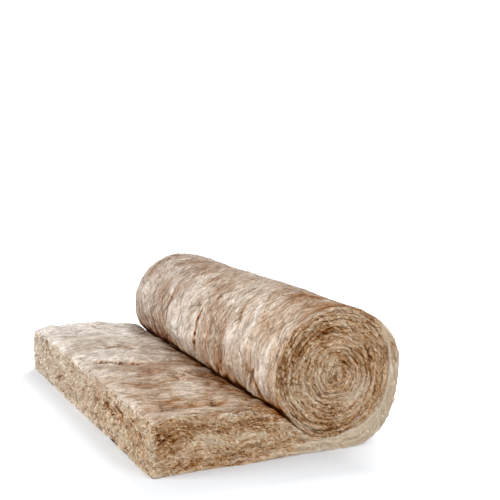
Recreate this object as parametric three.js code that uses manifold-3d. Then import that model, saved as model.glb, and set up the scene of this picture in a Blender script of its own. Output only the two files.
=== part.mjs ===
// A mineral wool insulation roll, partly unrolled on the floor. One long blanket of glass wool is
// wound up tight, and its free tail lies flat and has swollen back to its full loft.
// Millimetres, +Z up. +X runs from the cut end of the tail to the roll, and Y along the roll's axis.
// The origin is on the floor, under the middle of the whole piece.
import * as THREE from "three";
import { mergeVertices } from "three/addons/utils/BufferGeometryUtils.js";
import Module from "manifold-3d";

// The blanket.
const WIDTH = 1200; // across the blanket, so the length of the roll
const LOFT = 150; // thickness of the free tail
const EDGE_RADIUS = 14; // the upper edge of the cut end is soft and rounded
const HEEL_RADIUS = 5; // so is the lower one, a little

// The wound roll.
const TURNS = 10; // full turns inside the outer wrap
const TURN_THICKNESS = 18; // the blanket squeezed in the roll, from one seam to the next
const CORE_RADIUS = 2; // where the inner end of the blanket starts, with no tube in it
const FAR_SHARE = 0.958; // the roll's size at its far end, wound tighter, against the near end
const NIP_ANGLE = THREE.MathUtils.degToRad(213); // where the roll's skin meets the tail, from +X

// The outer wrap, which swells as it comes off the roll.
const WRAP_UNDER = 37; // its thickness under the roll, which rests on it
const WRAP_SIDE = 32; // its thickness at the side away from the tail
const FLAT_PAST_AXIS = 63; // the blanket lies flat on the floor to this far past the roll's axis

// The free tail.
const TAIL_LENGTH = 547; // from the roll's axis to the middle of the cut end
const CREST_RUN = 190; // from the nip to where the tail has its full loft
const CREST_RISE_RUN = 57; // the quick part of that rise, next to the nip
const CUT_SKEW = 25; // the cut end is out of square by this much across the width
const TAPER_RUN = 120; // past the nip, the tail takes this far to lose the roll's taper

// The low valleys in the tail's upper skin, which run from the cut end to the roll: the place across
// the width at the cut end and at the nip, and the depth.
const VALLEYS = [
  [520, 505, 6],
  [405, 400, 8],
  [235, 150, 9],
  [45, -85, 10],
  [-90, -165, 6],
  [-215, -275, 9],
  [-390, -445, 9],
  [-530, -500, 6],
];
const VALLEY_WIDTH = 30; // from the middle of a valley to well up its side
const VALLEY_RUN_OUT = 60; // a valley runs out over this length at the nip
const VALLEY_SHARE_AT_EDGE = 0.35; // what is left of its depth at the cut end
const VALLEY_EDGE_RUN = 110; // and it has its full depth this far from there

// The seam between the turns, which shows as a groove on both ends of the roll.
const SEAM_DEPTH = 14; // into the end, at the seam itself
const SEAM_LIP_DEPTH = 4; // where the rounded lips of two turns close on each other
const SEAM_LIP_WIDTH = 5; // width of the groove there
const SEAM_MOUTH_WIDTH = 13; // width of the groove at the face
const SEAM_INNER_ANGLE = THREE.MathUtils.degToRad(200); // the groove stops this far from the core's start
const SEAM_RUN_OUT = THREE.MathUtils.degToRad(3); // and runs this far past the nip, into the open

// Facets.
const SEAM_STEP = THREE.MathUtils.degToRad(15);
const SKIN_STEPS = 22; // along the skin from the top of the roll to the nip
const QUARTER_STEPS = 16; // along each quarter turn of the outer wrap
const TAIL_STEPS = 6; // along the level part of the tail
const ACROSS_STEPS = 40; // over the width, for the valleys
const FLAT_ENOUGH = 0.15; // facets are joined where that moves the surface less than this

const TAU = 2 * Math.PI;
const TOP_ANGLE = Math.PI / 2;
const WOOL = new THREE.MeshStandardMaterial({ color: 0xb89a7c, roughness: 0.95, metalness: 0 });

// The blanket's seam is one spiral. "wound" is the angle from the core's start, growing outwards, and
// the seam turns from the nip anticlockwise and inwards, seen from the near end.
const NIP_WOUND = TURNS * TAU;
const seamRadius = (wound) => CORE_RADIUS + (TURN_THICKNESS * wound) / TAU;
const seamAngle = (wound) => NIP_ANGLE + NIP_WOUND - wound;
const woundAt = (angle) => NIP_ANGLE + NIP_WOUND - angle;

const FLOOR_ANGLE = (3 / 2) * Math.PI;
const AXIS_HEIGHT = seamRadius(woundAt(FLOOR_ANGLE)) + WRAP_UNDER;
const SIDE_REACH = seamRadius(woundAt(TAU)) + WRAP_SIDE;
const TOP_RADIUS = seamRadius(woundAt(TOP_ANGLE));
const TAIL_SIDE_REACH = seamRadius(woundAt(Math.PI));

// A point of the seam in the plane of the blanket's section, x along the floor and y up.
function seamPoint(wound) {
  const radius = seamRadius(wound);
  const angle = seamAngle(wound);
  return new THREE.Vector2(radius * Math.cos(angle), AXIS_HEIGHT + radius * Math.sin(angle));
}

// The seam as a path on one end of the roll, from just outside the nip in to the core.
class SeamPath extends THREE.Curve {
  constructor(y) {
    super();
    this.y = y;
  }
  getPoint(t, target = new THREE.Vector3()) {
    const wound = THREE.MathUtils.lerp(NIP_WOUND + SEAM_RUN_OUT, SEAM_INNER_ANGLE, t);
    const point = seamPoint(wound);
    return target.set(point.x, this.y, point.y);
  }
  // Equal steps of angle, and not of length, so that the small inner turns stay round.
  getUtoTmapping(u) {
    return u;
  }
}

// The outline of the blanket seen from its near edge, anticlockwise from the foot of the cut end.
function blanketOutline() {
  const outline = new THREE.Shape();
  outline.moveTo(-TAIL_LENGTH + HEEL_RADIUS, 0);
  outline.lineTo(FLAT_PAST_AXIS, 0);
  outline.absellipse(
    FLAT_PAST_AXIS, AXIS_HEIGHT, SIDE_REACH - FLAT_PAST_AXIS, AXIS_HEIGHT, -Math.PI / 2, 0, false, 0,
  );
  outline.absellipse(0, AXIS_HEIGHT, SIDE_REACH, TOP_RADIUS, 0, TOP_ANGLE, false, 0);
  for (let i = 1; i <= SKIN_STEPS; i++) {
    const angle = THREE.MathUtils.lerp(TOP_ANGLE, NIP_ANGLE, i / SKIN_STEPS);
    const point = seamPoint(woundAt(angle));
    outline.lineTo(point.x, point.y);
  }
  const nip = seamPoint(NIP_WOUND);
  const crest = nip.x - CREST_RUN;
  outline.quadraticCurveTo(nip.x - CREST_RISE_RUN, LOFT, crest, LOFT);
  for (let i = 1; i <= TAIL_STEPS; i++) {
    outline.lineTo(THREE.MathUtils.lerp(crest, -TAIL_LENGTH + EDGE_RADIUS, i / TAIL_STEPS), LOFT);
  }
  outline.absarc(
    -TAIL_LENGTH + EDGE_RADIUS, LOFT - EDGE_RADIUS, EDGE_RADIUS, Math.PI / 2, Math.PI, false,
  );
  outline.lineTo(-TAIL_LENGTH, HEEL_RADIUS);
  outline.absarc(-TAIL_LENGTH + HEEL_RADIUS, HEEL_RADIUS, HEEL_RADIUS, Math.PI, FLOOR_ANGLE, false);
  return outline;
}

// The outline drawn out over the width of the blanket.
function plainBlanket() {
  const geometry = new THREE.ExtrudeGeometry(blanketOutline(), {
    depth: WIDTH, steps: ACROSS_STEPS, bevelEnabled: false, curveSegments: QUARTER_STEPS,
  });
  geometry.rotateX(Math.PI / 2);
  geometry.translate(0, WIDTH / 2, 0);
  return geometry;
}

// The valleys press the tail's upper skin down, and leave its foot flat on the floor.
function pressValleys(geometry) {
  const nip = seamPoint(NIP_WOUND);
  const position = geometry.getAttribute("position");
  for (let i = 0; i < position.count; i++) {
    const fromNip = nip.x - position.getX(i);
    const along = THREE.MathUtils.clamp(1 - fromNip / (TAIL_LENGTH + nip.x), 0, 1);
    const fromEdge = TAIL_LENGTH + position.getX(i);
    const pastEdge = THREE.MathUtils.smoothstep(fromEdge, 0, VALLEY_EDGE_RUN);
    const fade = THREE.MathUtils.lerp(VALLEY_SHARE_AT_EDGE, 1, pastEdge)
      * THREE.MathUtils.smoothstep(fromNip, 0, VALLEY_RUN_OUT);
    let depth = 0;
    for (const [atCutEnd, atNip, deepest] of VALLEYS) {
      const aside = position.getY(i) - THREE.MathUtils.lerp(atCutEnd, atNip, along);
      depth += deepest * fade * Math.exp(-((aside / VALLEY_WIDTH) ** 2));
    }
    position.setZ(i, position.getZ(i) * (1 - depth / LOFT));
  }
  return geometry;
}

// The cut end is out of square, and reaches further at the far edge. The tail beyond the roll is
// stretched to it.
function skewTail(geometry) {
  const position = geometry.getAttribute("position");
  for (let i = 0; i < position.count; i++) {
    const beyondRoll = Math.max(-position.getX(i) - TAIL_SIDE_REACH, 0);
    const skew = (CUT_SKEW * position.getY(i)) / WIDTH;
    position.setX(i, position.getX(i) - (skew * beyondRoll) / (TAIL_LENGTH - TAIL_SIDE_REACH));
  }
  return geometry;
}

// The roll gets smaller towards its far end, and rests on the floor all along.
function taperRoll(geometry) {
  const nip = seamPoint(NIP_WOUND);
  const position = geometry.getAttribute("position");
  for (let i = 0; i < position.count; i++) {
    const towardsFarEnd = 0.5 + position.getY(i) / WIDTH;
    const onRoll = THREE.MathUtils.clamp((position.getX(i) - nip.x) / TAPER_RUN + 1, 0, 1);
    const share = 1 - (1 - FAR_SHARE) * towardsFarEnd * onRoll;
    position.setX(i, position.getX(i) * share);
    position.setZ(i, position.getZ(i) * share);
  }
  geometry.computeVertexNormals();
  return geometry;
}

// The groove of the seam on one end of the roll. Its section is the same on both sides of the face,
// with the deep point between two rounded lips.
function seamGroove(y) {
  const quarter = [
    [SEAM_DEPTH, 0],
    [SEAM_LIP_DEPTH, SEAM_LIP_WIDTH / 2],
    [0, SEAM_MOUTH_WIDTH / 2],
    [-SEAM_LIP_DEPTH, SEAM_LIP_WIDTH / 2],
  ];
  const half = quarter.map(([x, z]) => new THREE.Vector2(x, z));
  const section = new THREE.Shape([...half, ...half.map((p) => p.clone().negate())]);
  const path = new SeamPath(y);
  const steps = Math.round((NIP_WOUND + SEAM_RUN_OUT - SEAM_INNER_ANGLE) / SEAM_STEP);
  return new THREE.ExtrudeGeometry(section, { steps, extrudePath: path, bevelEnabled: false });
}

const wasm = await Module();
wasm.setup();

// A closed mesh as a solid that can be cut.
function solidOf(geometry) {
  const bare = geometry.index ? geometry.toNonIndexed() : geometry.clone();
  bare.deleteAttribute("normal");
  bare.deleteAttribute("uv");
  const merged = mergeVertices(bare, 1e-3);
  const mesh = new wasm.Mesh({
    numProp: 3,
    vertProperties: merged.getAttribute("position").array,
    triVerts: new Uint32Array(merged.index.array),
  });
  return new wasm.Manifold(mesh);
}

function geometryOf(solid) {
  const mesh = solid.getMesh();
  const geometry = new THREE.BufferGeometry();
  geometry.setAttribute("position", new THREE.BufferAttribute(mesh.vertProperties, mesh.numProp));
  geometry.setIndex(new THREE.BufferAttribute(mesh.triVerts, 1));
  return geometry;
}

function woolBlanket() {
  const blanket = solidOf(skewTail(pressValleys(plainBlanket()))).simplify(FLAT_ENOUGH);
  const nearSeam = solidOf(seamGroove(-WIDTH / 2));
  const farSeam = solidOf(seamGroove(WIDTH / 2));
  const wound = geometryOf(blanket.subtract(nearSeam).subtract(farSeam));
  const mesh = new THREE.Mesh(taperRoll(wound), WOOL);
  mesh.name = "wool_blanket";
  return mesh;
}

const insulationRoll = new THREE.Group();
const blanket = woolBlanket();
// The cut end reaches furthest at its far corner, and the roll's side on the other side.
blanket.position.x = (TAIL_LENGTH + CUT_SKEW / 2 - SIDE_REACH) / 2;
insulationRoll.add(blanket);

export default insulationRoll;
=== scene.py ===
import math

import bmesh
import bpy
import numpy as np
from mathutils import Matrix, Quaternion, Vector, noise
from mathutils.bvhtree import BVHTree


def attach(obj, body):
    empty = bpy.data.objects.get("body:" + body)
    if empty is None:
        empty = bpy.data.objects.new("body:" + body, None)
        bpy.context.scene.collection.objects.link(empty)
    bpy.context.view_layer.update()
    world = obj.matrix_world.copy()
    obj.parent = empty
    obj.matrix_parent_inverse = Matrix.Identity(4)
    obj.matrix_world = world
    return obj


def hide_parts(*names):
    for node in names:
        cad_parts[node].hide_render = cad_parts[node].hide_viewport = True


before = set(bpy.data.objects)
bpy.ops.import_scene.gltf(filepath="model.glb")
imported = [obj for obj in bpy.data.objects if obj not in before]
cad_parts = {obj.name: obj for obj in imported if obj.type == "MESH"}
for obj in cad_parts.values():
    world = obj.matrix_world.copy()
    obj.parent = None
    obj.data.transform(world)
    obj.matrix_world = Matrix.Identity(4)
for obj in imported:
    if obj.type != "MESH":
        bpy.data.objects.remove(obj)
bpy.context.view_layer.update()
scene = bpy.context.scene

# The camera. It stands in front of the near end of the roll, to the left of it and a little above.
camera_data = bpy.data.cameras.new("camera")
camera_data.sensor_width = 36.0
camera_data.lens = 73.22
camera = bpy.data.objects.new("camera", camera_data)
camera.location = (-1.1683, -2.9695, 0.9598)
camera.rotation_euler = (math.radians(90 - 8.36), 0, math.radians(-24.66))
scene.collection.objects.link(camera)
scene.camera = camera

# The studio. A pale seamless floor in a room of even pale light, with a soft box high behind the roll,
# a larger one to the left of the tail and one in front.
scene.view_settings.view_transform = "Standard"


def add_node(tree, kind, sockets=None, **settings):
    """A shader node, with each socket set to a value or joined to another node's socket."""
    node = tree.nodes.new("ShaderNode" + kind)
    for name, value in settings.items():
        setattr(node, name, value)
    for name, value in (sockets or {}).items():
        if isinstance(value, bpy.types.NodeSocket):
            tree.links.new(value, node.inputs[name])
        else:
            node.inputs[name].default_value = value
    return node


def add_maths(tree, operation, first, second, third=None):
    sockets = {0: first, 1: second}
    if third is not None:
        sockets[2] = third
    return add_node(tree, "Math", sockets, operation=operation).outputs[0]


def add_vector(tree, operation, first, second=(0, 0, 0)):
    return add_node(tree, "VectorMath", {0: first, 1: second}, operation=operation).outputs[0]


world = bpy.data.worlds.new("pale_room")
scene.world = world
world.use_nodes = True
tree = world.node_tree
tree.nodes.clear()
room_light = add_node(tree, "Background", {"Color": (1, 1, 1, 1), "Strength": 0.66}).outputs[0]
backdrop = add_node(tree, "Background", {"Color": (1, 1, 1, 1), "Strength": 1.0}).outputs[0]
seen = add_node(tree, "LightPath").outputs["Is Camera Ray"]
room = add_node(tree, "MixShader", {0: seen, 1: room_light, 2: backdrop}).outputs[0]
add_node(tree, "OutputWorld", {"Surface": room})


def soft_box(name, place, size, watts):
    """An area lamp aimed at the middle of the roll."""
    data = bpy.data.lights.new(name, "AREA")
    data.shape = "RECTANGLE"
    data.size, data.size_y = size
    data.energy = watts
    lamp = bpy.data.objects.new(name, data)
    lamp.location = place
    aim = Vector((0, 0, 0.2)) - Vector(place)
    lamp.rotation_euler = aim.to_track_quat("-Z", "Y").to_euler()
    scene.collection.objects.link(lamp)


soft_box("key_box", (1.0, 1.7, 2.0), (1.3, 1.3), 32)
soft_box("left_box", (-2.8, -0.1, 1.1), (1.5, 1.5), 74)
soft_box("front_box", (0.4, -3.2, 1.5), (1.8, 1.4), 54)

bm = bmesh.new()
bmesh.ops.create_grid(bm, x_segments=1, y_segments=1, size=12)
floor_mesh = bpy.data.meshes.new("studio_floor")
bm.to_mesh(floor_mesh)
bm.free()
floor = bpy.data.objects.new("studio_floor", floor_mesh)
scene.collection.objects.link(floor)
paper = bpy.data.materials.new("white_paper")
paper.use_nodes = True
tree = paper.node_tree
tree.nodes.clear()
matt = add_node(tree, "BsdfDiffuse", {"Color": (0.775, 0.80, 0.83, 1)}).outputs[0]
# The paper glows a little to the camera, but not close to the roll, where it keeps the shadow.
shadow_middle, shadow_reach = (-0.125, -0.075, 0), (0.275, 0.675, 0)
away = add_node(tree, "TexCoord").outputs["Object"]
away = add_vector(tree, "ABSOLUTE", add_vector(tree, "SUBTRACT", away, shadow_middle))
away = add_vector(tree, "MAXIMUM", add_vector(tree, "SUBTRACT", away, shadow_reach))
away = add_node(tree, "VectorMath", {0: away}, operation="LENGTH").outputs["Value"]
glow = add_node(tree, "MapRange", {"Value": away, "From Max": 0.3, "To Max": 0.6}).outputs["Result"]
glow = add_maths(tree, "MULTIPLY", glow, add_node(tree, "LightPath").outputs["Is Camera Ray"])
glow = add_node(tree, "Emission", {"Strength": glow}).outputs[0]
lit_paper = add_node(tree, "AddShader", {0: matt, 1: glow}).outputs[0]
add_node(tree, "OutputMaterial", {"Surface": lit_paper})
floor_mesh.materials.append(paper)

# How the blanket is wound. It is one long mat of glass wool, wound tight, and the seam between its
# turns is a spiral about the roll's axis, a little uneven from turn to turn.
axis_x, axis_z = 0.1764, 0.21615
half_width = 0.6
turns = 10
pitch = 0.018
core_radius = 0.002
nip_angle = math.radians(213)
nip_wound = turns * math.tau


def wander(place, size, seed, depth=2):
    """Smooth noise from about -1 to 1, with the given scale along each axis."""
    spot = Vector((place[0] * size[0], place[1] * size[1], place[2] * size[2] + seed * 17.3))
    return noise.fractal(spot, 1.0, 2.1, depth) * 1.4


def clamp(share):
    return min(max(share, 0), 1)


def seam_radius(wound):
    """Distance of the seam from the roll's axis, after this angle of winding from the core."""
    even = core_radius + pitch * wound / math.tau
    inside = clamp((nip_wound - wound) / 1.5)
    uneven = 0.0026 * wander((wound, 0, 0), (0.5, 1, 1), 1)
    uneven += 0.0014 * wander((wound, 0, 0), (2.3, 1, 1), 2)
    run = pitch * wound ** 2 / (2 * math.tau)
    crinkle = 0.0022 * wander((run, 0, 0), (26, 1, 1), 3) + 0.0019 * wander((run, 0, 0), (75, 1, 1), 4)
    return even + (uneven + crinkle * inside) * min(wound / 4, 1)


def on_ray(radius, angle):
    """A point seen end on, at a distance and an angle from the roll's axis."""
    return axis_x + radius * math.cos(angle), axis_z + radius * math.sin(angle)


def seam_point(wound):
    return on_ray(seam_radius(wound), nip_angle + nip_wound - wound)


def crease_gap(wound):
    """How far each skin stands back from the seam near the nip, where the tail parts from the roll."""
    reach = math.radians(30) if wound < nip_wound else math.radians(9)
    return 0.0038 * max(1 - abs(wound - nip_wound) / reach, 0) ** 1.4


# The outer wrap and the free tail. The wrap loosens as it comes round the roll, runs flat under it,
# and the tail lies on the floor at its full loft, with a soft rounded edge at the cut end.
wrap_start = math.radians(573)
foot_start = math.radians(286)
side_reach, top_radius = 0.20665, 0.18815
flat_past_axis = 0.063
foot_end = -0.2
tail_length = 0.547
loft = 0.150
crest_run, crest_rise_run = 0.190, 0.057
cut_skew = 0.025
wrap_columns, foot_columns, tail_columns = 180, 40, 96
tail_column = wrap_columns + foot_columns
columns = tail_column + tail_columns
rows_across = 216
rows_deep = 30


def wrap_outside(angle):
    """The outer skin of the outer wrap, at an angle from 573 down to 213 degrees."""
    quarter = math.tau / 4
    if angle > 5 * quarter:
        wound = nip_wound + wrap_start - angle
        return on_ray(seam_radius(wound) - crease_gap(wound), angle)
    if angle > 4 * quarter:
        flat = math.hypot(top_radius * math.cos(angle), side_reach * math.sin(angle))
        return on_ray(side_reach * top_radius / flat, angle)
    if angle > foot_start:
        turn = (4 * quarter - angle) / (4 * quarter - foot_start) * quarter
        reach = side_reach - flat_past_axis
        return axis_x + flat_past_axis + reach * math.cos(turn), axis_z * (1 - math.sin(turn))
    share = (foot_start - angle) / (foot_start - nip_angle)
    return axis_x + flat_past_axis + share * (foot_end - flat_past_axis), 0


nip_x, nip_z = seam_point(nip_wound)


def tail_top(x):
    """Height of the tail's upper skin."""
    run = min(max(nip_x - x, 0), crest_run)
    bend = crest_run - 2 * crest_rise_run
    share = (math.sqrt(crest_rise_run ** 2 + bend * run) - crest_rise_run) / bend
    return nip_z + (loft - nip_z) * (1 - (1 - share) ** 2)


# Folds across the roll's skin: place along the axis at each end, angles, depth and width. A negative
# depth stands up.
roll_folds = [
    ((-0.028, -0.008), (140, 197), 0.0110, 0.0034),
    ((-0.250, -0.312), (124, 154), 0.0045, 0.0055),
    ((-0.290, -0.408), (102, 152), -0.0040, 0.0060),
    ((-0.458, -0.490), (178, 208), 0.0060, 0.0060),
    ((-0.200, -0.180), (188, 212), 0.0040, 0.0060),
    ((0.262, 0.250), (128, 165), 0.0035, 0.0060),
    ((0.395, 0.405), (182, 210), 0.0040, 0.0060),
    ((0.120, 0.160), (30, 90), 0.0040, 0.0060),
    ((-0.330, -0.300), (-20, 50), 0.0040, 0.0060),
]
# The low valleys in the tail's skin, from the cut end to the nip: place across at each, and depth.
valleys = [
    (0.520, 0.505, 0.006), (0.405, 0.400, 0.008), (0.235, 0.150, 0.009), (0.045, -0.085, 0.010),
    (-0.090, -0.165, 0.006), (-0.215, -0.275, 0.009), (-0.390, -0.445, 0.009), (-0.530, -0.500, 0.006),
]
valley_width, valley_run_out = 0.030, 0.060
valley_share_at_edge, valley_edge_run = 0.35, 0.110
# Creases along the tail's skin: depth, width, and points from the cut end towards the roll.
tail_creases = [
    (0.0120, 0.0040, (
        (-0.368, 0.036), (-0.289, 0.037), (-0.245, 0.012), (-0.155, -0.047), (-0.100, -0.080))),
    (0.0075, 0.0055, ((-0.320, 0.225), (-0.273, 0.211), (-0.160, 0.205), (-0.100, 0.145))),
    (0.0080, 0.0055, ((-0.355, -0.225), (-0.273, -0.253), (-0.212, -0.279), (-0.120, -0.272))),
    (0.0075, 0.0055, ((-0.350, -0.400), (-0.304, -0.444), (-0.228, -0.427), (-0.160, -0.440))),
    (0.0050, 0.0100, ((-0.240, -0.130), (-0.150, -0.165), (-0.060, -0.160))),
    (0.0060, 0.0100, ((-0.260, -0.500), (-0.160, -0.505), (-0.080, -0.495))),
    (0.0050, 0.0100, ((-0.340, 0.400), (-0.260, 0.395), (-0.130, 0.410))),
    (0.0045, 0.0120, ((-0.300, 0.500), (-0.180, 0.485), (-0.060, 0.500))),
]
# Patches of paler fleece and of bare tan wool: angle on the roll or place along the tail, place across,
# reach both ways in metres, and how much paler.
roll_patches = [
    (142, 0.121, 0.020, 0.012, -0.7), (143, 0.239, 0.024, 0.012, -0.7), (142, 0.356, 0.020, 0.014, -0.6),
    (79, 0.411, 0.030, 0.030, -0.5), (103, 0.117, 0.030, 0.030, -0.5), (150, 0.429, 0.020, 0.012, -0.6),
    (128, -0.400, 0.040, 0.030, -0.6), (94, -0.330, 0.050, 0.045, -0.7),
    (99, -0.436, 0.030, 0.020, -0.6), (187, -0.430, 0.032, 0.034, -1.1),
    (112, -0.050, 0.040, 0.040, -0.4), (140, -0.270, 0.024, 0.012, -0.8),
    (163, -0.237, 0.032, 0.022, 0.8), (141, -0.111, 0.034, 0.022, 0.6), (166, -0.463, 0.045, 0.014, 0.6),
    (163, -0.559, 0.070, 0.020, 0.3), (176, 0.077, 0.034, 0.024, 0.5), (135, -0.550, 0.070, 0.024, 0.3),
    (182, -0.330, 0.030, 0.016, 0.6), (165, 0.300, 0.040, 0.024, 0.5), (175, 0.400, 0.050, 0.016, 0.5),
    (120, 0.500, 0.070, 0.060, 0.4), (160, 0.520, 0.060, 0.030, 0.5), (125, 0.020, 0.030, 0.020, 0.4),
]
tail_patches = [
    (-0.243, 0.204, 0.020, 0.010, -0.8), (-0.289, 0.036, 0.018, 0.010, -1.2),
    (-0.224, -0.268, 0.036, 0.010, -0.9), (-0.198, -0.470, 0.016, 0.012, -0.9),
    (-0.221, -0.562, 0.014, 0.010, -0.8), (-0.272, 0.397, 0.026, 0.012, -0.6),
    (-0.099, 0.009, 0.034, 0.030, -0.6), (-0.080, -0.080, 0.034, 0.050, -0.8),
    (-0.060, -0.210, 0.034, 0.060, -0.7), (-0.050, -0.380, 0.034, 0.070, -0.5),
    (-0.250, -0.350, 0.030, 0.014, -0.4), (-0.232, -0.463, 0.024, 0.012, 1.0),
    (-0.157, -0.542, 0.044, 0.014, 0.8), (-0.270, -0.541, 0.050, 0.014, 0.7),
    (-0.325, 0.454, 0.040, 0.022, 0.5), (-0.175, 0.354, 0.044, 0.030, 0.4),
    (-0.320, -0.430, 0.030, 0.012, 0.6), (-0.345, -0.100, 0.014, 0.080, 0.6),
    (-0.345, 0.150, 0.014, 0.100, 0.5), (-0.200, 0.060, 0.030, 0.014, 0.5),
]


def folds_at(angle):
    """Place across, depth and width of each fold at an angle on the roll."""
    degrees = math.degrees(angle)
    for (y_from, y_to), (from_angle, to_angle), deepest, width in roll_folds:
        share = (degrees - from_angle) / (to_angle - from_angle)
        if 0 < share < 1:
            middle = y_from + share * (y_to - y_from)
            middle += 0.004 * wander((degrees, y_from, 0), (0.05, 9, 1), 31)
            yield middle, deepest * math.sin(math.pi * share) ** 0.5, width


def creases_at(x):
    """Place across, depth and width of each crease at a place along the tail."""
    for deepest, width, path in tail_creases:
        for (x_from, y_from), (x_to, y_to) in zip(path, path[1:]):
            if x_from <= x < x_to:
                share = (x - x_from) / (x_to - x_from)
                middle = y_from + share * (y_to - y_from) + 0.006 * wander((x, 0, 0), (25, 1, 1), 33)
                whole = (x - path[0][0]) / (path[-1][0] - path[0][0])
                yield middle, deepest * min(math.sin(math.pi * whole) * 1.6, 1), width


def depth_of(lines, y):
    """Depth of the lines at a place across the blanket, and the painted shade that they put on it,
    which is deepest up the farther side of each."""
    depth = painted_line_shade = 0
    for middle, deepest, width in lines:
        depth += deepest * math.exp(-((y - middle) / width) ** 2)
        painted_line_shade += deepest * math.exp(-((y - middle - 0.003) / (1.7 * width)) ** 2)
    return depth, painted_line_shade


def drawn_to(lines, y):
    """A place across the blanket, drawn towards the line that it is next to, so that a row of the
    mesh runs along each fold or crease."""
    for middle, deepest, width in lines:
        rows_away = abs(y - middle) * rows_across / (2 * half_width)
        if rows_away < 1.5:
            return middle + (y - middle) * (0.1 + 0.9 * max(rows_away - 0.5, 0))
    return y


def faint_line(billow, length, y, seed):
    """How far aside a thin line between two billows is; the wool is painted darker along it, a
    painted shade. It comes and goes along its way.
    """
    strength = 0.1 + 1.1 * wander((length, y, 0), (7, 9, 1), seed)
    return billow / 26 / min(max(strength, 0.03), 0.45)


def patch_paleness(patches, where, y, unit):
    """How much paler the patches make a place. The unit turns a patch's first number into metres."""
    paler = 0
    for at, y_at, reach, y_reach, how_much in patches:
        aside, across = (where - at) * unit / reach, (y - y_at) / y_reach
        if abs(aside) < 2.5 and abs(across) < 2.5:
            paler += how_much * math.exp(-aside ** 2 - across ** 2)
    return paler


# How pale the barest wool is, and one degree round the roll, in metres.
barest = -1.3
roll_degree = 0.0032


def roll_skin(length, angle, y):
    """How far the roll's skin stands out, how pale it is, and how far aside the nearest thin line is.
    Its fibres lie round the roll, in bunches. It is paler where it stands out and browner in the
    creases between billows, partly its own tone and partly painted shade of the relief; the folds and
    the skin next to the tail are painted darker and browner, a painted shade; and the top of the roll
    is painted darker, a painted shade that tones down the light from above."""
    round_way = length + 0.03 * wander((length, y, 0), (9, 7, 1), 40)
    across = y + 0.03 * wander((length, y, 0), (7, 6, 1), 41)
    broad = wander((length, y, 0), (7, 6, 1), 42)
    bunches = wander((round_way, across, 0), (14, 26, 1), 43)
    wisps = wander((round_way, across, 0), (34, 60, 1), 46)
    billow = wander((round_way, across, 0), (9, 17, 1), 47)
    faint = faint_line(billow, length, y, 48)
    billow = min(abs(billow), 0.6)
    crease = max(1 - billow / 0.09, 0)
    fold, painted_line_shade = depth_of(folds_at(angle), y)
    degrees = math.degrees(angle)
    calm = 0.35 + 0.65 * min((half_width - abs(y)) / (0.130 if y < 0 else 0.070), 1)
    near_edge = max(1 - (y + half_width) / 0.10, 0)
    far = (y + half_width) / (2 * half_width)
    broad, bunches, wisps = broad * calm, bunches * calm, wisps * calm
    billow, crease = billow * calm, crease * calm
    # Painted shade: darker and browner next to the nip, where the tail parts from the roll.
    from_nip = (math.degrees(nip_angle) - degrees) * roll_degree if degrees < 214 else 1
    nip_painted_shade = 1.2 * max(1 - from_nip / 0.13, 0) + max(1 - from_nip / 0.06, 0)
    nip_painted_shade += 2 * max(1 - from_nip / 0.03, 0)
    # Painted shade: the top of the roll is darker, to tone down the light from above, less so towards
    # the far end.
    top_painted_shade = max(1 - abs(degrees - 88) / 40, 0) * (1 - 0.4 * far)
    # Paler where the skin stands out, darker in the creases between billows: partly the wool's own tone,
    # partly painted shade.
    paler = 0.9 * broad + 0.5 * bunches + 0.3 * wisps - 0.5 * crease
    paler -= (0.8 + 0.3 * near_edge) * top_painted_shade + 0.2 * near_edge + 0.2
    ragged_y = y + 0.010 * wander((length, y, 0), (30, 40, 1), 44)
    ragged_degrees = degrees + 6 * wander((length, y, 0), (20, 30, 1), 45)
    paler += patch_paleness(roll_patches, ragged_degrees, ragged_y, roll_degree)
    # Painted shade along the folds, most up their farther side.
    paler = max(paler, barest) - nip_painted_shade - 320 * painted_line_shade
    rise = 0.0034 * broad + 0.0038 * bunches + 0.0017 * wisps + 0.0070 * billow
    if degrees > 280 or degrees < 80:
        rise, faint = 0.35 * rise, 3 * faint
    return rise - fold, paler, faint * (1 - clamp(painted_line_shade / 0.007))


def smooth_step(share):
    share = clamp(share)
    return share * share * (3 - 2 * share)


def valley_depth(x, y):
    """Depth of the valleys at a place on the tail's skin."""
    from_nip, from_end = nip_x - x, x - axis_x + tail_length
    along = clamp(1 - from_nip / (tail_length - axis_x + nip_x))
    fade = smooth_step(from_end / valley_edge_run)
    fade = valley_share_at_edge + (1 - valley_share_at_edge) * fade
    fade *= smooth_step(from_nip / valley_run_out)
    depth = 0
    for at_cut_end, at_nip, deepest in valleys:
        aside = y - at_cut_end - along * (at_nip - at_cut_end)
        depth += deepest * fade * math.exp(-(aside / valley_width) ** 2)
    return depth


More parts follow.
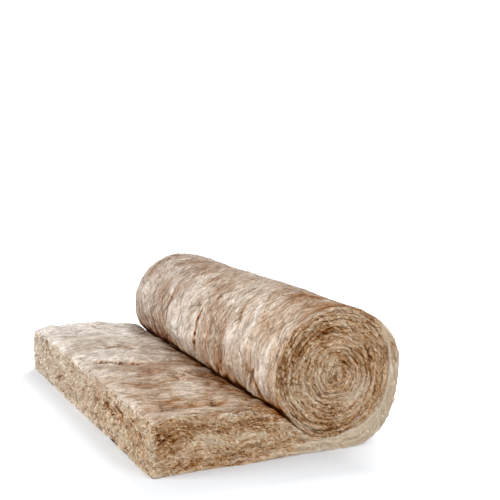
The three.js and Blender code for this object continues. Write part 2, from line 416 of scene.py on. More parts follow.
def tail_skin(x, y):
    """How far the tail's skin stands up, how pale it is, and how far aside the nearest thin line is.
    It buckles in long low waves that run from the cut end towards the roll. Its valleys and the creases
    between billows are painted browner and the billow tops paler, partly its own tone and partly painted
    shade of the relief; the skin next to the nip is painted darker, a painted shade; and it is painted
    paler towards the far end, a painted light."""
    far = (y + half_width) / (2 * half_width)
    across = y + 0.05 * wander((x, y, 0), (7, 5, 1), 50)
    broad = wander((x, y, 0), (5, 7, 1), 51)
    valley = valley_depth(x, y)
    billow = wander((x, across, 0), (6, 16, 1), 52)
    faint = faint_line(billow, x, y, 56)
    billow = min(abs(billow), 0.6)
    bunches = wander((x, across, 0), (14, 34, 1), 53, 3)
    crease, painted_line_shade = depth_of(creases_at(x), y)
    from_nip, from_end = nip_x - x, x - axis_x + tail_length
    # Painted shade: darker and browner next to the nip.
    nip_painted_shade = 2.0 * max(1 - from_nip / 0.11, 0) + 2.6 * max(1 - from_nip / 0.03, 0) ** 2
    to_cut = max(1 - from_end / 0.034, 0)
    calm = 0.4 + 0.6 * smooth_step(from_end / 0.06)
    # Painted light: paler towards the far end. Partly painted shade, partly the wool's own tone: browner
    # in the valleys and the creases between billows, paler on the billows.
    paler = 1.8 * far ** 2 - 0.6 + 0.4 * broad - 26 * valley + 0.9 * billow
    paler -= 0.8 * max(1 - billow / 0.09, 0)
    paler += 0.15 * bunches + 0.7 * to_cut
    ragged_y = y + 0.008 * wander((x, y, 0), (30, 50, 1), 54)
    ragged_x = x + 0.014 * wander((x, y, 0), (20, 40, 1), 55)
    paler += patch_paleness(tail_patches, ragged_x, ragged_y, 1)
    # Painted shade along the creases, most up their farther side.
    paler = max(paler, barest) - nip_painted_shade - 165 * painted_line_shade
    rise = 0.0030 * broad + 0.0140 * billow + 0.0010 * bunches
    return rise * calm - valley - crease, paler, faint * (1 - clamp(painted_line_shade / 0.0078))


def blanket_section(along):
    """A point on the lower and on the upper skin of the wrap and tail, in section."""
    column = along * columns
    if column <= wrap_columns:
        angle = wrap_start + (foot_start - wrap_start) * column / wrap_columns
    else:
        angle = foot_start + (nip_angle - foot_start) * min((column - wrap_columns) / foot_columns, 1)
    if column <= tail_column:
        low = wrap_outside(angle)
        wound = nip_wound + nip_angle - angle
        high = on_ray(seam_radius(wound) + crease_gap(wound), angle)
    else:
        share = (column - tail_column) / tail_columns
        high_x = nip_x + share * (axis_x - tail_length - nip_x)
        low = axis_x + foot_end + share * (-tail_length - foot_end), 0
        high = high_x, tail_top(high_x) - crease_gap(nip_wound) * max(1 - (nip_x - high_x) / 0.03, 0)
    return Vector((low[0], 0, low[1])), Vector((high[0], 0, high[1]))


def cut_edges(bm, axis, cuts, wanted=lambda middle: True):
    """Cuts the box's edges that run along one axis and whose middle is wanted."""
    edges = []
    for edge in bm.edges:
        way = edge.verts[1].co - edge.verts[0].co
        middle = (edge.verts[0].co + edge.verts[1].co) / 2
        if abs(way[axis]) > 0.9 * way.length and wanted(middle):
            edges.append(edge)
    bmesh.ops.subdivide_edges(bm, edges=edges, cuts=cuts, use_grid_fill=True)


def blanket_relief(along, length, y, low, high):
    """A place across the blanket, its two skins there with their relief, and for each skin how pale it
    is and how far aside the nearest thin line is."""
    column = along * columns
    slack = clamp((half_width - abs(y)) / 0.030)
    low_look = high_look = (0, 1)
    if column <= wrap_columns:
        angle = (wrap_start + (foot_start - wrap_start) * column / wrap_columns) % math.tau
        out = Vector((low.x - axis_x, 0, low.z - axis_z)).normalized()
        fade = min((wrap_columns - column) / 12, 1) * min(column / 4, 1)
        y = drawn_to(folds_at(angle), y)
        rise, *low_look = roll_skin(length, angle, y)
        low = low + out * rise * fade
    elif column > tail_column:
        in_open = min((column - tail_column) / 8, 1)
        from_cut = min((columns - column) / 6, 1)
        droop = 0.005 * (1 - slack) ** 2 + 0.005 * (1 - from_cut) ** 2
        y = drawn_to(creases_at(high.x), y)
        rise, *high_look = tail_skin(high.x, y)
        high = high + Vector((0, 0, in_open * rise - droop))
    return y, low, high, low_look, high_look


def strip_lengths(section, count):
    """How far along the blanket each column is, in metres."""
    middles = [sum(section(i / count), Vector()) / 2 for i in range(count + 1)]
    lengths = [0]
    for before, after in zip(middles, middles[1:]):
        lengths.append(lengths[-1] + (after - before).length)
    return lengths


# Where the layers on the near cut edge of the tail show browner or paler: place along it, height,
# reach both ways, and how much paler.
edge_patches = [
    (-0.325, 0.114, 0.045, 0.017, -2.3), (-0.250, 0.124, 0.050, 0.013, -2.0),
    (-0.330, 0.060, 0.065, 0.030, -1.2), (-0.300, 0.020, 0.100, 0.014, -0.8),
    (-0.332, 0.093, 0.034, 0.006, -2.4), (-0.276, 0.096, 0.026, 0.006, -2.6),
    (-0.335, 0.074, 0.024, 0.006, -2.0), (-0.178, 0.103, 0.012, 0.0045, -3.4),
    (-0.140, 0.120, 0.060, 0.009, -1.2), (-0.090, 0.112, 0.045, 0.006, -2.4),
    (-0.072, 0.103, 0.006, 0.006, -2.2), (-0.070, 0.048, 0.045, 0.0035, -1.7),
    (-0.120, 0.028, 0.055, 0.005, -1.6), (-0.030, 0.031, 0.018, 0.003, -1.6),
    (-0.310, 0.050, 0.030, 0.004, -1.2), (-0.235, 0.086, 0.045, 0.014, 1.5),
    (-0.100, 0.080, 0.050, 0.016, 1.5), (-0.010, 0.015, 0.016, 0.010, 3.0),
    (-0.200, 0.060, 0.080, 0.012, 0.8), (0.000, 0.060, 0.040, 0.020, 0.8),
    (-0.366, 0.070, 0.010, 0.090, 1.6),
]


# The same for the ends of the turns at the near end of the roll.
turn_patches = [
    (0.132, 0.340, 0.034, 0.012, -1.4), (0.205, 0.256, 0.030, 0.018, -1.3),
    (0.282, 0.232, 0.012, 0.024, -1.4), (0.020, 0.225, 0.016, 0.045, -0.9),
    (0.068, 0.300, 0.018, 0.026, -0.6), (0.150, 0.056, 0.055, 0.014, -1.0),
    (0.356, 0.270, 0.012, 0.045, -1.1), (0.240, 0.348, 0.050, 0.014, -0.8),
    (0.250, 0.150, 0.050, 0.035, 0.9), (0.075, 0.163, 0.012, 0.028, 0.9),
    (0.146, 0.126, 0.030, 0.014, -0.6), (0.145, 0.217, 0.026, 0.020, 0.5),
]


def wrap_painted_light(degrees):
    """The cut edge of the outer wrap is painted paler low on the roll's outer side, a painted light."""
    return (degrees - 238) / 34 if degrees > 230 else (50 - degrees) / 60


def cut_recess(length, deep, thickness, across, place, outer):
    """How far the cut edge of the blanket stands back at a point, how pale it is, and its height in
    the layers. The skins curl in at the seams, and the layers of fibre stand out and back. The gaps at
    the seams are painted darker, a painted shade."""
    side = 1 if across > 0.5 else 0
    level = deep * thickness
    from_skin = min(level, thickness - level)
    loose = clamp((thickness - 0.03) / 0.1)
    arch = 0.026 * math.exp(-((place.x + 0.215) / 0.085) ** 2)
    arch += 0.016 * math.exp(-((place.x + 0.08) / 0.05) ** 2)
    sway = 0.014 * wander((length, level, 0), (8, 9, 1), 13 + side)
    ripple = 0.0022 * wander((length, level, 0), (28, 60, 1), 10 + side)
    flow = level - loose * (arch + sway) * math.sin(math.pi * deep) - ripple
    crinkle = 0.0016 * wander((length, level, 0), (70, 60, 1), 14 + side)
    fine = 75 + 130 * (1 - loose)
    layers = wander((length, flow + crinkle, 0), (9, fine, 1), 15 + side)
    tufts = wander(place, (70, 30, 70), 17, 3)
    uneven = min(max(0.6 + 1.5 * wander((length, 0, 0), (9, 1, 1), 11 + side), 0.05), 1.6)
    from_axis = math.hypot(place.x - axis_x, place.z - axis_z)
    round_axis = math.degrees(math.atan2(place.z - axis_z, place.x - axis_x)) % 360
    outermost = place.x > nip_x - 0.03 and 0.9 * top_radius < from_axis and thickness < 0.06
    open_seam = 1.6 + 0.8 * math.cos(math.radians(2 * (round_axis - 165))) if outermost else uneven
    shoulder = max(1 - from_skin / 0.007, 0) ** 2
    touching = not outer or (deep > 0.5 and place.x > nip_x - 0.03)
    gap = max(1 - from_skin / 0.0035, 0) * min(from_axis / 0.03, 1) if touching else 0
    recess = 0.003 * uneven * shoulder + 0.0055 * open_seam * gap + 0.0044 * layers + 0.0026 * tufts
    # Painted shade: darker in the open seam gaps.
    paler = 0.2 - 1.7 * gap * open_seam - 0.8 * layers - 0.5 * tufts
    paler -= 1.1 * wander(place, (11, 1, 11), 18)
    # Painted light on the cut edge of the outer wrap, low on the roll's outer side.
    on_wrap = from_axis > 0.175 and thickness > 0.019 and place.x > nip_x
    if on_wrap:
        paler += 4.5 * clamp(wrap_painted_light(round_axis))
    paler += 2.2 * math.exp(-(from_axis / 0.018) ** 2)
    if across < 0.5:
        stray = 0.006 * wander((place.x, place.z, 0), (24, 50, 1), 12)
        patches = edge_patches if thickness > 0.07 else turn_patches
        patch = patch_paleness(patches, place.x + stray, place.z + stray, 1)
        paler += 1.3 * patch
        recess -= 0.0022 * patch
    return recess, max(paler, -2.8), flow


# Torn pits in the cut end: place along it, height, size and depth.
cut_pits = [
    (-0.425, 0.085, 0.024, 0.020), (-0.342, 0.096, 0.030, 0.024), (-0.252, 0.098, 0.026, 0.022),
    (-0.290, 0.084, 0.018, 0.016), (-0.160, 0.090, 0.016, 0.014), (0.240, 0.060, 0.020, 0.018),
    (0.280, 0.050, 0.020, 0.016), (0.423, 0.132, 0.020, 0.022), (0.395, 0.116, 0.014, 0.016),
    (0.050, 0.045, 0.014, 0.010), (-0.050, 0.120, 0.012, 0.012), (0.520, 0.070, 0.012, 0.010),
]


def cut_end_recess(y, z):
    """How far the torn cut end of the tail stands back, and how pale it is. Its pits and the tufts and
    lumps that stand back are painted darker, a painted shade, and it is painted paler towards the far
    end, a painted light.
    """
    tufts = wander((0, y, z), (1, 60, 70), 61, 4)
    lumps = wander((0, y, z), (1, 9, 14), 63)
    pits = sum(depth * math.exp(-((y - at) / size) ** 2 - ((z - high) / (0.5 * size)) ** 2)
               for at, high, size, depth in cut_pits)
    over = clamp((z - loft + 0.024) / 0.012)
    under = max(1 - z / 0.012, 0)
    corner = max(1 - (y + half_width) / 0.030, 0)
    far = (y + half_width) / (2 * half_width)
    # Painted shade in the pits and where tufts and lumps stand back; painted light towards the far end.
    paler = 0.4 + 1.1 * far - 3.3 * tufts - 1.3 * lumps - 280 * pits + 0.8 * corner + 0.6 * under
    recess = 0.0046 * tufts + 0.0040 * lumps + pits + 0.002 * over ** 2 + 0.003 * under ** 2
    return recess, paler


far_share = 0.958
taper_run = 0.120


def settle(place):
    """The whole roll is a little out of true, and wound tighter towards its far end."""
    x, y, z = place
    far = (y + half_width) / (2 * half_width)
    on_roll = clamp((x - nip_x) / taper_run + 1)
    share = 1 - (1 - far_share) * far * on_roll
    x = axis_x + (x - axis_x) * share
    z = z * share
    beyond_roll = clamp((nip_x - 0.03 - place[0]) / (tail_length + nip_x - axis_x - 0.03))
    x -= beyond_roll * cut_skew * (far - 0.5)
    lift = min(z / 0.06, 1)
    side = wander((x, y, z), (8, 2.5, 8), 21)
    rise = wander((x, y, z), (8, 2.5, 8), 23)
    fine_side = wander((x, y, z), (32, 8, 32), 25)
    fine_rise = wander((x, y, z), (32, 8, 32), 27)
    return Vector((x + lift * (0.0035 * side + 0.0012 * fine_side), y,
                   z + lift * (0.0035 * rise + 0.0012 * fine_rise)))


# On the lay, the far cut edge and the torn cut end have places of their own, well beyond the rest.
far_edge_lay, cut_end_lay, lay_gap = 31, 50, 10
# Painted shade: skins shut in by a seam take the darkest paleness.
shut_in_shade, inside_wool, clear = -3, 0.05, 0.03


def lay_strip(bm, section, count, relief=None):
    """Bends the cut box into its place in the roll. Leaves on each vertex how far it is from a cut
    edge of the blanket, how pale it is and how far aside of a thin line, and on each face its place on
    the blanket. Skins that are shut in by a seam are painted at their darkest, a painted shade where
    they show through a gap."""
    lengths = strip_lengths(section, count)
    from_cut = bm.verts.layers.float.new("from_cut")
    paleness = bm.verts.layers.float.new("paleness")
    from_crease = bm.verts.layers.float.new("from_crease")
    lay = bm.loops.layers.uv.new("lay")
    box = {}
    for vert in bm.verts:
        along, across, deep = vert.co
        low, high = section(along)
        thickness = (high - low).length
        end = 2 * across - 1
        at_side, at_cut_end = abs(end) > 0.998, relief and along > 0.999
        y = end * half_width
        length = lengths[round(along * count)]
        low_look = high_look = (0, 1)
        if relief:
            y, low, high, low_look, high_look = relief(along, length, y, low, high)
        place = low.lerp(high, deep)
        place.y = y
        from_skin = min(deep, 1 - deep) * thickness
        level = deep * thickness
        outside = relief and (deep < 0.001 or (deep > 0.999 and along * count > tail_column))
        pale, crease = high_look if deep > 0.5 else low_look
        vert[from_crease] = min(max(crease, -clear), clear) if outside else clear
        if at_side:
            recess, end_pale, level = cut_recess(length, deep, thickness, across, place, bool(relief))
            place.y -= end * recess
            pale = 0.5 * (pale + end_pale) if outside else end_pale
        if at_cut_end:
            recess, end_pale = cut_end_recess(place.y, place.z)
            place.x += recess
            pale = 0.5 * (pale + end_pale) if outside else end_pale
        in_seam = not (outside or at_side or at_cut_end)
        vert[paleness] = shut_in_shade if in_seam else pale
        if outside:
            vert[from_cut] = min(half_width - abs(y), lengths[-1] - length)
        elif in_seam:
            vert[from_cut] = inside_wool
        elif relief:
            vert[from_cut] = -max(from_skin, 0.002)
        else:
            vert[from_cut] = -inside_wool
        box[vert] = (length, y, level, Vector((along, across, deep)))
        vert.co = settle(place)
    for face in bm.faces:
        middle = sum((box[vert][3] for vert in face.verts), Vector()) / len(face.verts)
        for loop in face.loops:
            length, y, level, _ = box[loop.vert]
            if middle.y < 0.001:
                loop[lay].uv = (length, level)
            elif middle.y > 0.999:
                loop[lay].uv = (length + far_edge_lay, level)
            elif middle.x > 0.999:
                loop[lay].uv = (5 * y + cut_end_lay, level)
            else:
                loop[lay].uv = (length, y)


def shows(middle):
    """Whether an edge of the box lies on the wrap's outer skin, the tail's upper skin or the cut end."""
    on_wrap = middle.z < 0.01 and middle.x < (wrap_columns + 1) / columns
    on_tail = middle.z > 0.99 and middle.x > (tail_column - 3) / columns
    return on_wrap or on_tail or middle.x > 0.999


def new_strip(name, section, count, rows, wanted, deep, relief=None):
    """The mesh of a length of blanket: a box of one metre, cut along, across where wanted and through,
    and bent into its place."""
    bm = bmesh.new()
    bmesh.ops.create_cube(bm, size=1)
    bmesh.ops.translate(bm, verts=bm.verts, vec=(0.5, 0.5, 0.5))
    cut_edges(bm, 0, count - 1)
    cut_edges(bm, 1, rows - 1, wanted)
    cut_edges(bm, 2, deep - 1)
    lay_strip(bm, section, count, relief)
    bm.normal_update()
    bmesh.ops.recalc_face_normals(bm, faces=bm.faces)
    mesh = bpy.data.meshes.new(name)
    bm.to_mesh(mesh)
    bm.free()
    return mesh


def add_piece(name, mesh):
    piece = bpy.data.objects.new(name, mesh)
    scene.collection.objects.link(piece)
    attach(piece, "root")
    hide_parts("wool_blanket")


blanket_mesh = new_strip(
    "blanket", blanket_section, columns, rows_across, shows, rows_deep, blanket_relief)
add_piece("blanket", blanket_mesh)

# The turns inside the outer wrap. They are the same blanket, pressed to a few layers of fibre, and
# their cut edges show as the spiral on the roll's two ends.
turn_columns, turn_rows_across, turn_rows_deep = 2200, 20, 9
inner_wound = nip_wound - math.tau


def turns_section(along):
    """A point on the outer and on the inner skin of the wound turns, in section."""
    wound = inner_wound * math.sqrt(along)
    angle = nip_angle + nip_wound - wound
    low = on_ray(seam_radius(wound + math.tau) - crease_gap(wound + math.tau), angle)
    high = seam_point(wound)
    return Vector((low[0], 0, low[1])), Vector((high[0], 0, high[1]))


def is_in_nip(middle):
    """Whether an edge of the box lies on the last of the turns' outer skin, which shows in the nip."""
    return middle.z < 0.01 and middle.x > 0.98


turns_mesh = new_strip(
    "wound_turns", turns_section, turn_columns, turn_rows_across, is_in_nip, turn_rows_deep)
add_piece("wound_turns", turns_mesh)

# The wool itself. Its skin is pale and fleecy, with the fibres lying along the blanket, and its cut
# edges are browner, in thin layers with dark gaps between them.


def shade(red, green, blue):
    """A colour as it looks on screen, in the light values that the shader takes."""
    return tuple(((c / 255 + 0.055) / 1.055) ** 2.4 for c in (red, green, blue)) + (1,)


def new_group(name, inputs, outputs):
    tree = bpy.data.node_groups.new(name, "ShaderNodeTree")
    for in_out, sockets in (("INPUT", inputs), ("OUTPUT", outputs)):
        for label, kind in sockets:
            tree.interface.new_socket(label, in_out=in_out, socket_type="NodeSocket" + kind)
    return tree, tree.nodes.new("NodeGroupInput"), tree.nodes.new("NodeGroupOutput")


strands, inside, outside = new_group(
    "strands",
    [("Lay", "Vector"), ("Along", "Float"), ("Across", "Float"), ("Broken", "Float"),
     ("Curly", "Float"), ("Low", "Float"), ("High", "Float")],
    [("Strands", "Float")])
stretch = add_node(strands, "CombineXYZ", {
    "X": inside.outputs["Along"], "Y": inside.outputs["Across"], "Z": 1.0}).outputs[0]
stretched = add_vector(strands, "MULTIPLY", inside.outputs["Lay"], stretch)
pattern = add_node(strands, "TexNoise", {
    "Vector": stretched, "Scale": 1.0, "Detail": 5.0, "Roughness": inside.outputs["Broken"],
    "Distortion": inside.outputs["Curly"]}).outputs["Fac"]
spread = add_node(strands, "MapRange", {
    "Value": pattern, "From Min": inside.outputs["Low"], "From Max": inside.outputs["High"]})
strands.links.new(spread.outputs["Result"], outside.inputs["Strands"])


def new_shades(name, stops):
    """The colours of the wool from its darkest to its palest, as a group."""
    group, inside, outside = new_group(name, [("Tone", "Float")], [("Color", "Color")])
    node = add_node(group, "ValToRGB", {"Fac": inside.outputs["Tone"]})
    elements = node.color_ramp.elements
    while len(elements) < len(stops):
        elements.new(0.5)
    for element, (tone, colour) in zip(elements, stops):
        element.position = tone
        element.color = shade(*colour)
    group.links.new(node.outputs["Color"], outside.inputs["Color"])
    return group


fleece_shades = new_shades("fleece_shades", [
    (0.00, (84, 39, 10)), (0.14, (122, 80, 43)), (0.28, (157, 123, 91)), (0.42, (184, 160, 137)),
    (0.56, (204, 188, 172)), (0.70, (218, 206, 195)), (0.95, (240, 234, 228))])
bare_shades = new_shades("bare_shades", [
    (0.00, (88, 36, 6)), (0.18, (134, 77, 35)), (0.36, (177, 124, 80)), (0.54, (210, 163, 118)),
    (0.72, (231, 190, 148)), (0.86, (243, 209, 171)), (1.00, (252, 233, 207))])
wool = bpy.data.materials.new("wool")
wool.use_nodes = True
tree = wool.node_tree
tree.nodes.clear()
surface = add_node(tree, "BsdfPrincipled", {"Roughness": 1.0, "Specular IOR Level": 0.0})
add_node(tree, "OutputMaterial", {"Surface": surface.outputs[0]})
lay = add_node(tree, "UVMap", uv_map="lay").outputs["UV"]
place = add_node(tree, "TexCoord").outputs["Object"]


def add_drift(vector, scale, reach):
    """Moves a pattern about a little from place to place."""
    drift = add_node(tree, "TexNoise", {"Vector": place, "Scale": scale, "Detail": 2.0}).outputs["Color"]
    drift = add_vector(tree, "SUBTRACT", drift, (0.5, 0.5, 0.5))
    return add_vector(tree, "ADD", vector, add_vector(tree, "MULTIPLY", drift, reach))


def add_strands(lay, along, across, broken, curly=0.5, low=0.35, high=0.65):
    """Fibres lying one way, from 0 to 1, with so many changes per metre along and across them."""
    return add_node(tree, "Group", {
        "Lay": lay, "Along": along, "Across": across, "Broken": broken, "Curly": curly, "Low": low,
        "High": high}, node_tree=strands).outputs[0]


def add_range(value, low, high, to_low=0.0, to_high=1.0):
    """A value between two limits, spread over another range."""
    return add_node(tree, "MapRange", {
        "Value": value, "From Min": low, "From Max": high, "To Min": to_low, "To Max": to_high,
    }).outputs["Result"]


def plus(onto, value, share):
    """A value, with a share of another one added to it."""
    return add_maths(tree, "MULTIPLY_ADD", value, share, onto)


def blend(share, first, second):
    return add_node(tree, "Mix", {0: share, 2: first, 3: second}, data_type="FLOAT").outputs[0]


def attribute(name):
    return add_node(tree, "Attribute", attribute_name=name).outputs["Fac"]


from_cut, paleness = attribute("from_cut"), attribute("paleness")
from_crease, lock_shade = attribute("from_crease"), attribute("lock_shade")

# The skins: pale and brown bunches, and locks and hairs in them that only change the brightness.
swept = add_drift(lay, 9.0, (0.07, 0.09, 0.0))
swept = add_drift(swept, 30.0, (0.014, 0.020, 0.0))
band = add_strands(lay, 5.0, 80.0, 0.6, 0.4)
bunches = add_strands(swept, 14.0, 30.0, 0.65, 1.2)
locks = add_strands(swept, 34.0, 120.0, 0.6, 0.8)
hairs = add_strands(swept, 50.0, 270.0, 0.7, low=0.38, high=0.62)
patches = add_strands(place, 7.0, 7.0, 0.6, 0.8)
bunches = blend(add_range(from_cut, 0.02, 0.07), band, bunches)
aside = add_maths(tree, "ABSOLUTE", from_crease, 0.0)
# Painted shade: the skin is darker along the thin lines and a little darker near them.
shaded_line_mask = add_range(aside, 0.0008, 0.0030, 1.0, 0.0)
skin_tone = plus(0.20, paleness, 0.14)
skin_tone = plus(skin_tone, add_range(aside, 0.0, 0.012), 0.10)
skin_tone = plus(skin_tone, bunches, 0.15)
skin_tone = plus(skin_tone, patches, 0.20)
fine = plus(-0.22, locks, 0.18)
fine = plus(fine, hairs, 0.26)
matted = add_range(paleness, -1.6, 1.0, 1.3, 0.55)
fine = add_maths(tree, "MULTIPLY_ADD", fine, matted, lock_shade)
fine = plus(fine, shaded_line_mask, -0.22)

# The cut edges: thin crinkled layers and threads, with dark splits between them and specks of cut
# fibre. The torn cut end is specked the most.
crinkled = add_drift(lay, 32.0, (0.010, 0.011, 0.0))
crinkled = add_drift(crinkled, 120.0, (0.0, 0.005, 0.0))
layers = add_strands(crinkled, 8.0, 150.0, 0.6)
threads = add_strands(crinkled, 45.0, 320.0, 0.7)
level = add_strands(crinkled, 6.0, 85.0, 0.55, low=0.0, high=1.0)
level = add_maths(tree, "ABSOLUTE", add_maths(tree, "SUBTRACT", level, 0.5), 0.0)
split = add_range(level, 0.004, 0.026, 1.0, 0.0)
askew = add_node(tree, "VectorRotate", {
    "Vector": place, "Rotation": (0.7, 0.5, 0.6)}, rotation_type="EULER_XYZ").outputs[0]
specks = add_strands(askew, 160.0, 160.0, 0.75, low=0.40, high=0.60)
along_lay = add_node(tree, "SeparateXYZ", {0: lay}).outputs["X"]
torn = add_maths(tree, "GREATER_THAN", along_lay, cut_end_lay - lay_gap)
cut_tone = plus(-0.17, torn, -0.09)
cut_tone = plus(cut_tone, paleness, 0.16)
cut_tone = plus(cut_tone, layers, 0.50)
cut_tone = plus(cut_tone, threads, 0.76)
cut_tone = plus(cut_tone, specks, plus(0.48, torn, 0.32))
cut_tone = plus(cut_tone, split, -0.34)
cut_tone = plus(cut_tone, patches, 0.12)
cut_tone = add_maths(tree, "ADD", cut_tone, lock_shade)

# Skin and cut edge meet in a ragged line. The colours are weaker towards the far end, a painted
# light, and in the thin lines, with their painted shade. They are stronger where the skin is
# darkest, painted warm light in the painted shade of the nip and folds, and weaker in the brighter
# fibres, a painted sheen.
is_skin = add_range(plus(from_cut, bunches, 0.008), 0.0, 0.006)
tone = blend(is_skin, cut_tone, skin_tone)
fine = add_maths(tree, "MINIMUM", add_maths(tree, "MULTIPLY", fine, is_skin), 0.13)
bright = add_maths(tree, "POWER", 12.0, fine)
fleecy = plus(0.85, paleness, 0.30)
fleecy = add_range(plus(fleecy, patches, 0.80), 0.0, 1.0)
fleecy = add_maths(tree, "MULTIPLY", fleecy, is_skin)
bare_colour = add_node(tree, "Group", {"Tone": tone}, node_tree=bare_shades).outputs[0]
fleece_colour = add_node(tree, "Group", {"Tone": tone}, node_tree=fleece_shades).outputs[0]
colour = add_node(
    tree, "Mix", {0: fleecy, 6: bare_colour, 7: fleece_colour}, data_type="RGBA").outputs[2]
place_across = add_node(tree, "SeparateXYZ", {0: place}).outputs["Y"]
far_face = add_maths(tree, "GREATER_THAN", along_lay, far_edge_lay - lay_gap)
far_face = add_maths(tree, "SUBTRACT", far_face, torn)
# Painted light: the colours fade towards the far end.
strength = add_range(place_across, -0.5, 0.6, 1.06, 0.76)
strength = plus(strength, is_skin, -0.10)
# Painted light: warmer, stronger colour in the painted shade of the nip and folds.
strength = plus(strength, add_range(paleness, -3.0, -1.0, 0.18, 0.0), is_skin)
strength = plus(strength, shaded_line_mask, -0.38)
strength = plus(strength, far_face, 0.24)
# Painted sheen: the brighter fibres have weaker colour.
strength = add_maths(tree, "MULTIPLY", strength, add_maths(tree, "POWER", bright, -0.5))
colour = add_node(tree, "HueSaturation", {
    "Saturation": strength, "Value": bright, "Color": colour}).outputs["Color"]
tree.links.new(colour, surface.inputs["Base Color"])
skin_height = plus(bunches, locks, 0.35)
skin_height = plus(skin_height, hairs, 0.15)
skin_height = plus(skin_height, shaded_line_mask, -0.5)
skin_height = add_maths(tree, "MULTIPLY", skin_height, 0.6)
cut_height = plus(layers, threads, 0.6)
cut_height = plus(cut_height, specks, 0.6)
cut_height = plus(cut_height, split, -0.6)
bump = add_node(tree, "Bump", {
    "Strength": 0.9, "Distance": 0.004, "Height": blend(is_skin, cut_height, skin_height)})
tree.links.new(bump.outputs[0], surface.inputs["Normal"])
for mesh in (blanket_mesh, turns_mesh):
    mesh.materials.append(wool)
    for polygon in mesh.polygons:
        polygon.use_smooth = True

# The loose locks of wool on the skins and the cut edges. Each is a thin bunch of fibres, pointed at
# both ends, that lies on the blanket and lifts off it a little. None reaches under the blanket, and
# none spans a fold or the seam between two turns.
skin_starts = 0.004
skin_hollow, cut_hollow = -1.9, -4.2
underside, lowest_lock = 0.002, 0.0015


def read_all(items, field, width=1, kind=float):
    """One field of all the vertices, corners or faces of a mesh."""
    values = np.empty(len(items) * width, dtype=kind)
    items.foreach_get(field, values)
    return values.reshape(-1, width) if width > 1 else values


def read_faces(mesh):
    """The square faces of a mesh, with their pattern, how pale they are and how far from a cut."""
    numbers = np.flatnonzero(read_all(mesh.polygons, "loop_total", kind=np.int32) == 4)
    starts = read_all(mesh.polygons, "loop_start", kind=np.int32)[numbers]
    loops = starts[:, None] + np.arange(4)
    corners = read_all(mesh.loops, "vertex_index", kind=np.int32)[loops]
    paleness = read_all(mesh.attributes["paleness"].data, "value")[corners]
    return {
        "numbers": numbers, "places": read_all(mesh.vertices, "co", 3)[corners],
        "lay": read_all(mesh.uv_layers["lay"].uv, "vector", 2)[loops],
        "from_cut": read_all(mesh.attributes["from_cut"].data, "value")[corners].mean(axis=1),
        "paleness": paleness.mean(axis=1), "darkest": paleness.min(axis=1)}


def unit(vectors):
    return vectors / np.maximum(np.linalg.norm(vectors, axis=-1, keepdims=True), 1e-9)


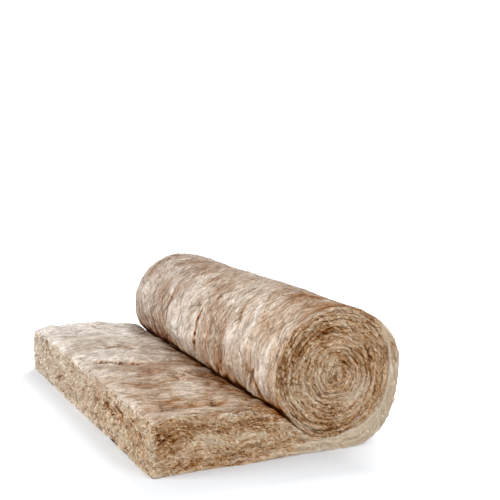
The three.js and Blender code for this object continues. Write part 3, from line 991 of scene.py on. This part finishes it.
def lay_fleece(name, mesh, wanted, count, seed, length, width, stray, rise, mixed):
    """Lays locks of wool on the wanted faces of a mesh. Length and width are their middle values in
    metres, stray how far they turn from the blanket's run, rise how far their ends lift, and mixed
    how much they differ in shade. Those that would cross a hollow or the underside are left out."""
    rng = np.random.default_rng(seed)
    faces = read_faces(mesh)
    places, lay = faces["places"], faces["lay"]
    side_1, side_2 = places[:, 1] - places[:, 0], places[:, 3] - places[:, 0]
    crossed = np.cross(places[:, 2] - places[:, 0], places[:, 3] - places[:, 1])
    area = np.linalg.norm(crossed, axis=1) / 2
    picked = wanted(places.mean(axis=1), unit(crossed), faces["from_cut"])
    in_hollow = faces["darkest"] < np.where(faces["from_cut"] > skin_starts, skin_hollow, cut_hollow)
    hollows = set(faces["numbers"][in_hollow])
    chance = np.where(picked & ~in_hollow, area, 0)
    chosen = rng.choice(len(area), size=count, p=chance / chance.sum())
    run_1, run_2 = (lay[:, 1] - lay[:, 0])[chosen], (lay[:, 3] - lay[:, 0])[chosen]
    span = run_1[:, :1] * run_2[:, 1:] - run_1[:, 1:] * run_2[:, :1]
    along = side_1[chosen] * run_2[:, 1:] - side_2[chosen] * run_1[:, 1:]
    along = unit(along * np.sign(span) * rng.choice([-1, 1], size=(count, 1)))
    s, t = rng.random((count, 1)), rng.random((count, 1))
    start = places[chosen, 0] + s * side_1[chosen] + t * side_2[chosen]
    tree = BVHTree.FromPolygons(
        [vert.co for vert in mesh.vertices], [polygon.vertices[:] for polygon in mesh.polygons])
    rings = 5
    swirl = np.array([wander(spot, (9, 9, 9), 71) for spot in start])
    turn = rng.normal(0, stray, count) + 2.6 * stray * swirl
    bend = rng.normal(0, stray * 0.45, count)
    lengths = length * np.exp(rng.normal(0, 0.35, count))
    kept, middles, outs, aways = [], [], [], []
    for i in range(count):
        place, way = Vector(start[i]), Vector(along[i])
        line = []
        for ring in range(rings):
            spot, out, number, _ = tree.find_nearest(place)
            if number in hollows or spot.z < underside:
                break
            way = (way - out * way.dot(out)).normalized()
            way.rotate(Quaternion(out, turn[i] if ring == 0 else bend[i]))
            line.append((spot, out, way.copy()))
            place = spot + way * (lengths[i] / (rings - 1))
        if len(line) == rings:
            kept.append(i)
            middles.append([spot for spot, _, _ in line])
            outs.append([out for _, out, _ in line])
            aways.append([way for _, _, way in line])
    middles, outs, aways = np.array(middles), np.array(outs), np.array(aways)
    root = (lay[chosen, 0] + s * run_1 + t * run_2)[kept]
    chosen, count = chosen[kept], len(kept)
    sides = unit(np.cross(outs, aways))
    widths = width * np.exp(rng.normal(0, 0.35, (count, 1, 1)))
    share = np.linspace(0, 1, rings)[None, :, None]
    lift = np.abs(rng.normal(0, rise, (count, 1, 1)))
    loose = rng.random((count, 1, 1)) < 0.5
    lift = lift * np.where(loose, share ** 2, 4 * share * (1 - share) * 0.4)
    full = np.array([0, 0.8, 1, 0.7, 0])[None, :, None] * widths
    centre = middles + outs * (lift + 0.0002)
    centre[:, :, 2] = np.maximum(centre[:, :, 2], lowest_lock)
    left = centre - sides * full / 2
    right = centre + sides * full / 2
    top = centre + outs * full * 0.4
    between = np.stack([left, top, right], axis=2)[:, 1:-1].reshape(count, -1, 3)
    verts = np.concatenate([centre[:, :1], between, centre[:, -1:]], axis=1)
    tip = 3 * (rings - 2) + 1
    tris = [(0, 2, 1), (0, 3, 2), (0, 1, 3)]
    tris += [(tip, tip - 3, tip - 2), (tip, tip - 2, tip - 1), (tip, tip - 1, tip - 3)]
    for ring in range(rings - 3):
        for corner in range(3):
            a, b = 1 + 3 * ring + corner, 1 + 3 * ring + (corner + 1) % 3
            tris += [(a, b, b + 3), (a, b + 3, a + 3)]
    tris = np.array(tris)[None] + (np.arange(count) * (tip + 1))[:, None, None]
    locks = bpy.data.meshes.new(name)
    locks.vertices.add(count * (tip + 1))
    locks.vertices.foreach_set("co", verts.ravel())
    locks.loops.add(tris.size)
    locks.loops.foreach_set("vertex_index", tris.ravel().astype(np.int32))
    locks.polygons.add(tris.size // 3)
    locks.polygons.foreach_set("loop_start", np.arange(0, tris.size, 3, dtype=np.int32))
    locks.update(calc_edges=True)
    on_each = {
        "paleness": np.maximum(faces["paleness"][chosen], -2.5) + 0.1,
        "from_cut": faces["from_cut"][chosen], "from_crease": np.full(count, clear),
        "lock_shade": rng.normal(0, 0.15 * mixed, count)}
    for label, values in on_each.items():
        values = np.repeat(values, tip + 1)
        locks.attributes.new(label, "FLOAT", "POINT").data.foreach_set("value", values)
    lay = np.repeat(root, tris[0].size, axis=0)
    locks.uv_layers.new(name="lay").uv.foreach_set("vector", lay.ravel())
    locks.polygons.foreach_set("use_smooth", np.ones(len(locks.polygons), dtype=bool))
    locks.materials.append(wool)
    add_piece(name, locks)


def on_roll_skin(middle, normal, from_cut):
    return (from_cut > skin_starts) & (normal[:, 2] > -0.7) & (middle[:, 0] > nip_x - 0.05)


def on_tail_skin(middle, normal, from_cut):
    on_tail = (middle[:, 0] < nip_x) & (middle[:, 2] < 0.17)
    return (from_cut > skin_starts) & (normal[:, 2] > 0.3) & on_tail


def on_near_end(middle, normal, from_cut):
    return (from_cut < 0.002) & (middle[:, 1] < -half_width + 0.03) & (normal[:, 1] < -0.4)


def on_far_end(middle, normal, from_cut):
    return (from_cut < 0.002) & (middle[:, 1] > half_width - 0.03) & (normal[:, 1] > 0.4)


def on_cut_end(middle, normal, from_cut):
    return (from_cut < 0.002) & (normal[:, 0] < -0.3) & (middle[:, 0] < axis_x - tail_length + 0.06)


lay_fleece("roll_fleece", blanket_mesh, on_roll_skin, 8000, 101, 0.045, 0.0012, 0.40, 0.0012, 0.8)
lay_fleece("tail_fleece", blanket_mesh, on_tail_skin, 4000, 102, 0.065, 0.0011, 0.14, 0.0010, 0.35)
lay_fleece("near_edge_fleece", blanket_mesh, on_near_end, 5000, 103, 0.022, 0.0013, 0.18, 0.0020, 1.1)
lay_fleece("far_edge_fleece", blanket_mesh, on_far_end, 2500, 104, 0.022, 0.0014, 0.18, 0.0020, 0.6)
lay_fleece("cut_end_fleece", blanket_mesh, on_cut_end, 8000, 105, 0.017, 0.0017, 0.9, 0.0036, 1.1)
lay_fleece("near_turns_fleece", turns_mesh, on_near_end, 7000, 106, 0.016, 0.0012, 0.35, 0.0020, 1.5)
lay_fleece("far_turns_fleece", turns_mesh, on_far_end, 3500, 107, 0.016, 0.0012, 0.35, 0.0020, 0.9)
